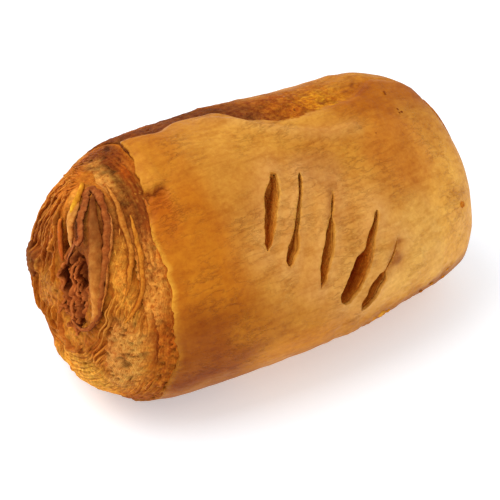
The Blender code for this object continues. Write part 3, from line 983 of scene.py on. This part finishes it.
# pieces round the core of the left face
core = {
    # the root colours are painted shade down at the foot of each leaf
    "leaves": {  # knots of share and angle, lift in millimetres, crumple, tip and root colours
        "gapLeaf": (((0.72, 85), (0.57, 81), (0.45, 71), (0.32, 54), (0.24, 30), (0.22, 8)),
                    0.5, 0.020, (206, 128, 50), (150, 76, 20)),
        "lowerRim": (((0.10, 335), (0.12, 315), (0.16, 290), (0.22, 262), (0.27, 240),
                      (0.26, 222)), 0.0, 0.018, (210, 132, 58), (170, 92, 36)),
    },
    "leafDepth": 0.0050, "thickness": 0.0006, "leafColumns": 26, "leafRows": 9,
    "ropeColumns": 22, "ropeRows": 20, "filmColumns": 70, "filmRows": 8,
    "leafUneven": ((0.0005, 1.6, 121), (0.00025, 0.5, 122), (0.0007, 2.3, 123)),
    # the flank colour is painted shade on the sides of each rope
    "ropes": {  # knots, lift, half width, half height, crumple, crown first and last, flank
        "archLeaf": (((-0.30, 20), (-0.34, 80), (0.02, 118), (0.30, 127), (0.43, 122),
            (0.47, 116), (0.56, 111), (0.63, 107), (0.68, 102), (0.73, 101), (0.77, 106),
            (0.78, 110), (0.77, 117), (0.76, 125), (0.73, 131), (0.69, 137), (0.65, 143),
            (0.60, 150), (0.56, 157), (0.51, 165), (0.46, 174), (0.39, 186), (0.27, 200),
            (0.09, 219), (-0.10, 240)), 0.0, 0.95, 0.7, 0.34, (176, 100, 56), (164, 90, 40),
            (110, 50, 22)),
        "outerLine": (((0.80, 122), (0.79, 126), (0.77, 132), (0.73, 138), (0.68, 144),
            (0.64, 150), (0.60, 157), (0.55, 165), (0.50, 174)), 0.0, 0.35, 0.5, 0.2,
            (206, 130, 70), (204, 126, 56), (140, 72, 24)),
        "strip": (((0.73, 106), (0.68, 112), (0.635, 119), (0.60, 126), (0.575, 132),
            (0.545, 137), (0.515, 142), (0.485, 148), (0.46, 154), (0.435, 161), (0.43, 167),
            (0.42, 174), (0.40, 181), (0.37, 188), (0.33, 194)), -0.5, 1.7, 1.4, 0.12,
            (138, 80, 38), (206, 134, 62), (140, 70, 24)),
        "yellowBand": (((0.72, 88), (0.71, 92), (0.66, 96), (0.58, 98), (0.50, 99), (0.37, 97),
            (0.21, 81)), 0.0, 0.8, 0.7, 0.1, (212, 140, 40), (222, 164, 44), (176, 96, 22)),
        "orangeBand": (((0.24, 62), (0.23, 55), (0.16, 44), (0.10, 32), (0.06, 21), (0.03, 14)),
            -0.1, 1.0, 0.5, 0.08, (200, 112, 34), (186, 88, 24), (148, 70, 20)),
        "paleColumn": (((0.60, 98), (0.49, 101), (0.30, 98), (0.09, 83), (-0.07, 70),
            (-0.30, 79)), 0.0, 1.3, 0.6, 0.12, (214, 148, 74), (220, 158, 90), (176, 100, 44)),
        "ridgeInner": (((0.84, 104), (0.85, 115), (0.85, 123), (0.84, 131), (0.84, 140),
            (0.83, 146), (0.80, 151), (0.78, 156), (0.74, 162)), -0.5, 0.75, 0.7, 0.2,
            (204, 132, 60), (208, 132, 44), (148, 74, 20)),
        "ridgeOuter": (((0.90, 128), (0.89, 136), (0.885, 142), (0.88, 148), (0.85, 159),
            (0.80, 167), (0.70, 176)), -0.5, 0.75, 0.7, 0.2, (210, 136, 48), (206, 126, 42),
            (144, 70, 18)),
        "leftFlap": (((0.56, 3), (0.53, -3), (0.50, -9), (0.47, -15), (0.45, -22)), 0.4, 2.0,
            1.3, 0.3, (142, 84, 42), (160, 98, 48), (118, 60, 22)),
    },
    "films": (  # across and up at both ends, lift of the tips
        (-0.0052, 0.0425, -0.0062, 0.0270, -0.6), (-0.0072, 0.0435, -0.0080, 0.0262, -1.8),
        (-0.0088, 0.0430, -0.0095, 0.0262, -0.9), (-0.0104, 0.0420, -0.0110, 0.0258, -2.2),
        (-0.0118, 0.0410, -0.0126, 0.0265, -1.2), (-0.0134, 0.0395, -0.0142, 0.0275, -2.0),
        (-0.0060, 0.0380, -0.0135, 0.0350, -1.6), (-0.0065, 0.0325, -0.0145, 0.0300, -1.2),
        (-0.0060, 0.0285, -0.0140, 0.0250, -0.6), (-0.0040, 0.0350, -0.0090, 0.0280, -1.0),
    ),
    "filmHighlight": (196, 114, 60), "filmShade": (96, 32, 8), "filmCrumple": 0.0016,
    "filmLean": 0.0034, "filmPlace": -0.0596, "filmLevel": 0.0347, "filmSlant": 0.155,
    "filmDepth": 0.0050, "tipCrumple": 0.0016,
}


def smoothRoute(knots, columns):
    # a smooth line through knots
    knots = np.asarray(knots, float)
    padded = np.concatenate([2 * knots[:1] - knots[1:2], knots, 2 * knots[-1:] - knots[-2:-1]])
    way = np.linspace(0, len(knots) - 1.000001, columns + 1)
    step = way.astype(int)
    t = (way - step)[:, None]
    a, b, c, d = (padded[step + i] for i in range(4))
    return 0.5 * (2 * b + (c - a) * t + (2 * a - 5 * b + 4 * c - d) * t ** 2
                  + (3 * b - a - 3 * c + d) * t ** 3)


def addRope(name, rope, seed):
    # a thick fold of dough that lies on the left face: a closed tube along knots
    knots, lift, halfWide, halfHigh, crumple, first, last, flankShade = rope
    columns = core["ropeColumns"] * (len(knots) - 1)
    piece, along, around = addGrid(name, columns, core["ropeRows"])
    share, degrees = smoothRoute(knots, columns).T
    angle = np.radians(degrees)
    relief = faceRelief(-1, angle)
    centre, turned, further = (
        endPoints(-1, share + shareStep, angle + angleStep, relief, lift / 1000)
        for shareStep, angleStep in ((0, 0), (0, 0.05), (0.03, 0)))
    run = unit(np.gradient(centre, axis=0))
    outward = np.cross(turned - centre, further - centre)
    outward *= -np.sign(outward[:, :1])
    outward = unit(outward - np.sum(outward * run, axis=1)[:, None] * run)
    beside = np.cross(outward, run)
    column = np.round(along * columns).astype(int)
    turn = 2 * math.pi * around
    taper = np.clip(np.sin(math.pi * along), 0, 1) ** 0.45
    own = np.stack([along * len(knots) * 3 + seed * 7, np.cos(turn), np.sin(turn)], axis=-1)
    wide = halfWide * (1 + 0.16 * softNoise(own, 1.7, seed + 300))
    swell = crumple * roughNoise(own, 1.3, seed + 400)
    sideways = crumple * roughNoise(own * np.array([1, 0, 0]), 2.2, seed + 500)
    offset = beside[column] * ((wide + swell) * np.cos(turn) * taper + sideways)[:, None]
    offset += outward[column] * ((halfHigh + swell) * np.sin(turn) * taper)[:, None]
    setPoints(piece, centre[column] + offset / 1000)
    # the crown that faces out keeps the rope's own colours; the flanks get painted shade, a little
    # more on one side
    crown = easeStep((np.sin(turn) - 0.15) / 0.75) * (1 - 0.25 * np.clip(np.cos(turn), 0, 1))
    paint = mixTones(first, last, easeStep(along))
    blendPaint(paint, flankShade, 1 - crown)
    tone = roughNoise(readPoints(piece), 0.0020, 142)
    setPaint(piece, paint * (1 + 0.16 * tone + 0.25 * swell / max(crumple, 0.3))[:, None])
    setMask(piece, "strata", turn * 3 + 2 * tone)
    setMask(piece, "porous", np.full(len(paint), 0.2 if crumple < 0.2 else 0.5))
    tidyMesh(piece)
    return piece


def addCoreLeaf(name, leaf, number):
    knots, lift, crumple, tipColour, shadedRootColour = leaf
    columns = core["leafColumns"] * (len(knots) - 1)
    share, degrees = smoothRoute(knots, columns).T
    way = np.linspace(0, columns * 0.16, columns + 1)
    own = np.stack([way, way * 0 + number * 9.1, way * 0], axis=-1)
    tips = lift / 1000 + noises(own, core["leafUneven"], softNoise)
    tips -= 0.003 * (1 - easeStep(way / 1.5)) + 0.003 * (1 - easeStep((way[-1] - way) / 1.5))
    piece, _, _, across, _, plain = addLeaf(
        name, -1, share, degrees, tips, core["leafDepth"], core["leafRows"],
        flare=0.006, crumple=crumple, crumpleSize=0.0030, drift=way * 0, seed=131 + number)
    # painted shade towards the roots
    paint = mixTones(shadedRootColour, tipColour, easeStep((across - 0.25) / 0.7))
    tone = roughNoise(plain, 0.0030, 141)
    paint *= 1 + 0.25 * tone[:, None]
    return finishLeaf(piece, paint, across * 5 + 3 * tone, 0.6, core["thickness"])


def addFilm(film, number):
    # a thin crumpled film that hangs in the hollow of the core
    y0, z0, y1, z1, lift = film
    piece, along, across = addGrid("film", core["filmColumns"], core["filmRows"])
    own = np.stack([along * 14 + number * 20, across * 1.5, along * 0], axis=-1)
    fold = core["filmCrumple"]
    y = y0 + (y1 - y0) * along + fold * roughNoise(own, 3.6, 151) + 0.0001
    y += core["filmLean"] * (1 - across) * (-1) ** number
    z = z0 + (z1 - z0) * along + fold * 0.8 * roughNoise(own, 3.6, 161)
    tip = core["tipCrumple"] * roughNoise(own * np.array([1, 0, 0]), 2.4, 171) + lift / 1000
    x = core["filmPlace"] + core["filmSlant"] * (z - core["filmLevel"]) - tip
    points = np.stack([x + core["filmDepth"] * (1 - across), y, z], axis=-1)
    setPoints(piece, points)
    # painted shade at the roots, down in the hollow, and a pale painted highlight at the tips
    share = 0.35 * across + 0.65 * easeStep((across - 0.8) / 0.18)
    paint = mixTones(core["filmShade"], core["filmHighlight"], share)
    paint *= 1 + 0.3 * softNoise(points, 0.002, 181)[:, None]
    return finishLeaf(piece, paint, across * 4, 0.3, core["thickness"])


corePieces = [addCoreLeaf(name, leaf, number)
              for number, (name, leaf) in enumerate(core["leaves"].items())]
corePieces += [addRope(name, rope, 31 + number)
               for number, (name, rope) in enumerate(core["ropes"].items())]
corePieces += [addFilm(film, number) for number, film in enumerate(core["films"])]
coreLeaves = joinPieces(corePieces, "coreLeaves")
print("the leaves round the core stand")

# filling
filling = {
    "stations": (  # share of the length, middle across and up, half width and half height
        (-1.00, -0.0090, 0.0320, 0.0030, 0.0070), (-0.72, -0.0095, 0.0315, 0.0040, 0.0080),
        (-0.42, -0.0150, 0.0295, 0.0055, 0.0090), (-0.12, -0.0240, 0.0275, 0.0065, 0.0095),
        (0.16, -0.0250, 0.0265, 0.0065, 0.0095), (0.42, -0.0170, 0.0290, 0.0055, 0.0085),
        (0.72, -0.0100, 0.0340, 0.0042, 0.0090), (1.00, -0.0092, 0.0368, 0.0036, 0.0098),
    ),
    "leftEnd": -0.0560, "rightEnd": 0.0534, "lumps": 0.0013, "roundShare": 0.06, "rings": 120,
    "dark": (0.075, 0.006, 0.003, 1), "light": (0.30, 0.028, 0.008, 1), "bumpDepth": 0.0006,
    "roughness": 0.30, "specular": 0.22,
}


def makeFilling():
    # a circle, extruded along the roll and swollen to the filling's sections
    deselectAll()
    bpy.ops.mesh.primitive_circle_add(vertices=64, radius=1, fill_type="NGON")
    piece = bpy.context.object
    piece.name = "cherryFilling"
    piece.data.name = "cherryFilling"
    bpy.ops.object.mode_set(mode="EDIT")
    bpy.ops.mesh.select_all(action="SELECT")
    for _ in range(filling["rings"]):
        bpy.ops.mesh.extrude_region_move(TRANSFORM_OT_translate={"value": (0, 0, 1)})
    bpy.ops.object.mode_set(mode="OBJECT")
    across, up, ring = readPoints(piece).T
    way = (1 - np.cos(math.pi * ring / filling["rings"])) / 2  # rings lie closer at the ends
    share = 2 * way - 1
    stations = np.array(filling["stations"]).T
    y, z, wide, high = (np.interp(share, stations[0], values) for values in stations[1:])
    closing = np.clip((np.abs(share) - 1) / filling["roundShare"] + 1, 0, 1)
    rounding = np.sqrt(1 - 0.97 * closing ** 2)
    x = filling["leftEnd"] + (filling["rightEnd"] - filling["leftEnd"]) * way
    skin = np.stack([x, across * 0.006, up * 0.008], axis=-1)
    swell = filling["lumps"] * roughNoise(skin, 0.0036, 191) * (np.hypot(across, up) > 0.5)
    y += across * (wide + swell) * rounding
    z += up * (high + swell) * rounding
    x -= rightLean(z - axisHeight) * np.maximum(share, 0) ** 3
    points = np.stack([x, y, z], axis=-1)
    points[:, 0] += filling["lumps"] * roughNoise(points, 0.0030, 195) * closing
    setPoints(piece, points)
    tidyMesh(piece, threshold=0)
    return piece


def makeFillingMaterial():
    material, tree, shader = newMaterial("cherryFillingGloss")
    place = addNode(tree, "TexCoord").outputs["Object"]
    lumps = addNoise(tree, place, 420, 4.0, 0.6)
    feed(tree, shader, {
        "Base Color": mixColours(tree, lumps, filling["dark"], filling["light"]),
        "Roughness": filling["roughness"], "Specular IOR Level": filling["specular"],
        "Normal": addBump(tree, lumps, filling["bumpDepth"], {})})
    return material


fillingMaterial = makeFillingMaterial()
cherryFilling = makeFilling()
print("the filling lies in the dough")

# crumbs and flakes that sit on the crust
crumbs = {
    "spots": (  # place, angle, size in millimetres, colour
        (0.0425, 109, 0.36, (150, 80, 28)), (0.0418, 110.5, 0.30, (146, 76, 26)),
        (0.0408, 121, 0.30, (134, 66, 24)), (0.0416, 123, 0.34, (128, 62, 24)),
        (0.0402, 123, 0.24, (140, 72, 26)), (0.0440, 173, 0.85, (206, 126, 42)),
        (0.0250, 128, 0.26, (138, 72, 28)), (0.0351, 205, 0.60, (208, 142, 56)),
        (0.0353, 212, 0.65, (196, 124, 44)), (0.0301, 210, 0.60, (206, 136, 50)),
        (0.0270, 213, 0.55, (188, 112, 36)), (0.0150, 213, 0.60, (204, 134, 40)),
        (0.0120, 211, 1.30, (214, 150, 52)), (0.0098, 212, 1.00, (206, 138, 46)),
        (0.0040, 216, 0.50, (190, 112, 30)), (-0.0310, 83, 0.45, (128, 66, 28)),
        (-0.0040, 95, 0.35, (124, 60, 24)), (0.0080, 102, 0.35, (150, 82, 30)),
    ),
    "squash": 0.55, "roughness": 0.35,
}


def addCrumb(number, place, angle, size, colour):
    deselectAll()
    bpy.ops.mesh.primitive_ico_sphere_add(subdivisions=3, radius=1)
    piece = bpy.context.object
    ball = readPoints(piece)
    ball *= 1 + crumbs["roughness"] * roughNoise(ball + number * 3.7, 0.9, 211)[:, None]
    # a spot on the crust, and one beside it along the roll and one round it
    here = place + np.array([0, 0.001, 0])
    turned = np.radians(angle + np.array([0, 0, 1.0]))
    spot, along, up = slanted(sectionPoints(here, turned, crustWaves(here, turned)))
    outward = np.cross(along - spot, up - spot)
    outward *= np.sign(outward[1] * spot[1] + outward[2] * (spot[2] - axisHeight))
    axes = unit(np.stack([along - spot, up - spot, outward]))
    axes[2] *= crumbs["squash"]
    setPoints(piece, spot + ball @ axes * size / 1000)
    setPaint(piece, linear(colour) * (1 + 0.3 * softNoise(ball + number, 0.6, 212)[:, None]))
    setMask(piece, "strata", ball[:, 2] * 2)
    setMask(piece, "porous", np.full(len(ball), 0.6))
    tidyMesh(piece, threshold=0)
    return piece


crustCrumbs = joinPieces([addCrumb(number, *spot) for number, spot in enumerate(crumbs["spots"])],
                         "crustCrumbs")
print("crumbs sit on the crust")

# slits
slits = {
    "overshoot": 0.0030, "cuts": 25, "ragged": 0.00020, "layers": 0.00024, "sideWall": 0.0040,
    "bow": 0.00035, "narrowest": 0.00006, "bright": (214, 152, 66), "dark": (128, 40, 0),
    # the deeper faces are darker: painted shade in the narrow cuts
    "tones": (  # depth and colour of the cut faces
        (0.0002, (228, 162, 80)), (0.0009, (216, 134, 44)), (0.0019, (216, 134, 44)),
        (0.0031, (194, 106, 26)), (0.0048, (156, 64, 10)),
    ),
    "shapes": (  # width, depth, and how full it is from the upper to the lower end
        (0.0040, 0.0050, ((0, 0.35), (0.08, 0.55), (0.30, 1.0), (0.62, 0.74), (0.90, 0.5),
                          (1, 0.08))),
        (0.0028, 0.0038, ((0, 0.14), (0.06, 0.42), (0.30, 0.34), (0.62, 0.46), (0.80, 1.0),
                          (0.94, 0.85), (1, 0.30))),
        (0.0030, 0.0044, ((0, 0.04), (0.10, 0.20), (0.28, 0.16), (0.33, 0.46), (0.45, 0.80),
                          (0.66, 1.0), (0.88, 0.70), (1, 0.06))),
        (0.0049, 0.0058, ((0, 0.10), (0.05, 0.26), (0.38, 0.55), (0.52, 0.96), (0.76, 1.0),
                          (0.94, 0.86), (1, 0.35))),
        (0.0038, 0.0054, ((0, 0.04), (0.12, 0.16), (0.42, 0.14), (0.52, 0.80), (0.75, 1.0),
                          (0.93, 0.80), (1, 0.20))),
    ),
}


def onCrust(place, angle):
    return slanted(sectionPoints(place, angle))


def cutterRoute(route, way):
    steps = np.linspace(0, 1, len(route))
    place = np.interp(way, steps, [knot[0] for knot in route])
    angle = np.radians(np.interp(way, steps, [knot[1] for knot in route]))
    return place, angle, onCrust(place, angle)


def addCutter(number, route, width, depth, knots):
    # a finely divided cube, bent along one slit and narrowed to its bottom
    deselectAll()
    bpy.ops.mesh.primitive_cube_add(size=2)
    piece = bpy.context.object
    bpy.ops.object.mode_set(mode="EDIT")
    bpy.ops.mesh.select_all(action="SELECT")
    bpy.ops.mesh.subdivide(number_cuts=slits["cuts"])
    bpy.ops.object.mode_set(mode="OBJECT")
    run, across, up = readPoints(piece).T
    share = 0.5 + 0.496 * run
    place, angle, centre = cutterRoute(route, share)
    ahead = unit(cutterRoute(route, share + 0.05)[2] - cutterRoute(route, share - 0.05)[2])
    beside = onCrust(place + 0.001, angle) - onCrust(place - 0.001, angle)
    beside[np.abs(np.sum(beside * ahead, axis=1)) > 0.0016] = (0, 0, 0.002)
    outward = unit(np.cross(beside, ahead))
    fromAxis = (centre - np.array([0, 0, axisHeight])) * np.array([0, 1, 1])
    outward *= np.sign(np.sum(outward * fromAxis, axis=1))[:, None]
    acrossRun = np.cross(ahead, outward)
    fullness = alongRoute(knots, share)
    bent = np.stack([share, share * 0 + number * 5.3, share * 0], axis=-1)
    centre = centre + acrossRun * (slits["bow"] * softNoise(bent, 0.13, 27))[:, None]
    level = up * np.where(up > 0, slits["overshoot"], depth * fullness ** 0.85)
    floor = centre + outward * level[:, None]
    under = np.clip(-level / depth, 0, 1)
    rough = floor + acrossRun * (across * slits["sideWall"])[:, None]
    half = width / 2 * fullness * (1 - 0.72 * under ** 1.2)
    half += slits["ragged"] * softNoise(rough, 0.0011, 7 + number) * fullness
    layered = softNoise(rough + under[:, None] * 0.03, 0.0018, 17 + number)
    half = np.maximum(half + slits["layers"] * layered * (under > 0), slits["narrowest"])
    setPoints(piece, floor + acrossRun * (across * half)[:, None])
    setMask(piece, "wall", np.full(len(half), slitMark["cut"]))
    tidyMesh(piece, threshold=0)
    return piece


def rollCoordinates(points):
    # place along the roll, angle round it and depth under the plain surface
    x, y, z = points.T
    place = x
    for _ in range(3):
        place = x + endLean(place, y, z)
    share = place / roll["length"]
    wide, high = halfSizes(share)
    rise = z - axisHeight
    flatSide = (y - roll["axisDrift"] * share) / (1 - roll["topNarrowing"] * rise / high)
    power = roll["sectionPower"] / 2
    angle = np.arctan2(signedPower(rise / high, power), signedPower(flatSide / wide, power))
    surface = sectionPoints(place, angle)
    depth = np.hypot(surface[:, 1], surface[:, 2] - axisHeight) - np.hypot(y, rise)
    return place, angle % (2 * math.pi), depth


def readMask(piece, name):
    values = np.empty(len(piece.data.vertices), np.float32)
    piece.data.attributes[name].data.foreach_get("value", values)
    return values


def cutSlits(piece, cutter):
    # bent quads would leave slivers where they are cut, flat triangles don't
    applyModifier(piece, "TRIANGULATE")
    applyModifier(piece, "BOOLEAN", operation="DIFFERENCE", solver="MANIFOLD", object=cutter)


def paintWalls(piece):
    # the cut faces: pale at the skin, toasted below it, and darker still further in, which is
    # painted shade down in the narrow cuts
    points = readPoints(piece)
    place, angle, depth = rollCoordinates(points)
    wall = np.abs(readMask(piece, "wall") - slitMark["uncut"]) > 0.2
    steps = [step for step, _ in slits["tones"]]
    tones = np.array([linear(tone) for _, tone in slits["tones"]]).T
    wobbled = depth + 0.0007 * roughNoise(points, 0.0025, 111)
    paint = np.stack([np.interp(wobbled, steps, channel) for channel in tones], axis=-1)
    # the upper parts are shallow and paler, the lower halves of the last two toasted dark
    degrees = np.degrees(angle)
    bright = (1 - easeStep((degrees - 164) / 10)) * easeStep((place + 0.0165) / 0.003)
    blendPaint(paint, slits["bright"], 0.55 * bright)
    dark = easeStep((degrees - 171) / 12) * (place > -0.006) * easeStep(depth / 0.0015)
    blendPaint(paint, slits["dark"], 0.5 * dark)
    layer = piece.data.color_attributes["paint"].data
    colours = np.empty(len(points) * 4, np.float32)
    layer.foreach_get("color", colours)
    colours = colours.reshape(-1, 4)
    colours[wall] = np.append(paint, np.ones((len(paint), 1)), axis=1)[wall]
    layer.foreach_set("color", colours.ravel())
    strata = depth * 12000 + 4 * roughNoise(points, 0.003, 112)
    for name, values in (("strata", strata), ("porous", strata * 0 + 0.25)):
        if name in piece.data.attributes:
            mask = readMask(piece, name)
            mask[wall] = values[wall]
            piece.data.attributes[name].data.foreach_set("value", mask)


cutter = joinPieces([addCutter(number, route, *slits["shapes"][number])
                     for number, route in enumerate(slitRoutes)], "slitCutters")
applyModifier(cutter, "TRIANGULATE")
for piece in (crustSheet, doughBody):
    cutSlits(piece, cutter)
    paintWalls(piece)
bpy.data.objects.remove(cutter)
print("the slits are cut")

placeOnFrame(crustSheet, "pastry", skinMaterial)
for piece in (doughBody, leftDough, leftLeaves, rightLeaves, coreLeaves, crustCrumbs):
    placeOnFrame(piece, "pastry", doughMaterial)
placeOnFrame(cherryFilling, "cherry_filling", fillingMaterial)

# floor, light and camera
stage = {
    "floorSize": 3.0, "keyPlace": (-0.30, 0.12, 0.55), "keySize": 0.45, "keyPower": 2.0,
    "keyAim": (0, 0, 0.03), "worldLight": 0.77, "worldTint": (1.0, 0.99, 0.98, 1),
    "floorShade": (0.78, 0.82, 0.87, 1), "floorGlow": 0.38, "floorRoughness": 0.9,
    "floorSpecular": 0.1, "floorLevel": -0.0002,
}
camera = {"lens": 81.85, "shift": (-0.0108, -0.0788), "turn": 0.63547, "rise": 0.54231,
          "distance": 0.30, "target": (0.0028, 0.0001, 0.03), "sensor": 36, "clip": 0.01}


def makeStage():
    deselectAll()
    bpy.ops.mesh.primitive_plane_add(size=stage["floorSize"], location=(0, 0, stage["floorLevel"]))
    floor = bpy.context.object
    floor.name = "paleFloor"
    makeActive(floor)
    bpy.ops.object.transform_apply(location=True)
    material, tree, shader = newMaterial("paleFloor")
    feed(tree, shader, {
        "Base Color": stage["floorShade"], "Roughness": stage["floorRoughness"],
        "Specular IOR Level": stage["floorSpecular"], "Emission Color": (1, 1, 1, 1),
        "Emission Strength": stage["floorGlow"]})
    floor.data.materials.append(material)
    world = bpy.data.worlds.new("softStudio")
    bpy.context.scene.world = world
    world.use_nodes = True
    background = world.node_tree.nodes["Background"]
    feed(world.node_tree, background, {0: stage["worldTint"], 1: stage["worldLight"]})
    bpy.ops.object.light_add(type="AREA", location=stage["keyPlace"])
    key = bpy.context.object
    key.name = "keyLight"
    key.data.size = stage["keySize"]
    key.data.energy = stage["keyPower"]
    aim = Vector(stage["keyAim"]) - key.location
    key.rotation_euler = aim.to_track_quat("-Z", "Y").to_euler()
    bpy.context.scene.view_settings.view_transform = "Standard"


def makeCamera():
    turn, rise = camera["turn"], camera["rise"]
    right = Vector((math.cos(turn), -math.sin(turn), 0))
    back = Vector((-math.sin(turn) * math.cos(rise), -math.cos(turn) * math.cos(rise),
                   math.sin(rise)))
    up = back.cross(right)
    bpy.ops.object.camera_add()
    view = bpy.context.object
    view.name = "mainCamera"
    facing = Matrix((right, up, back)).transposed().to_4x4()
    facing.translation = Vector(camera["target"]) + back * camera["distance"]
    view.matrix_world = facing
    view.data.lens = camera["lens"]
    view.data.sensor_width = camera["sensor"]
    view.data.shift_x, view.data.shift_y = camera["shift"]
    view.data.clip_start = camera["clip"]
    bpy.context.scene.camera = view


makeStage()
makeCamera()
print("floor, light and camera are set")
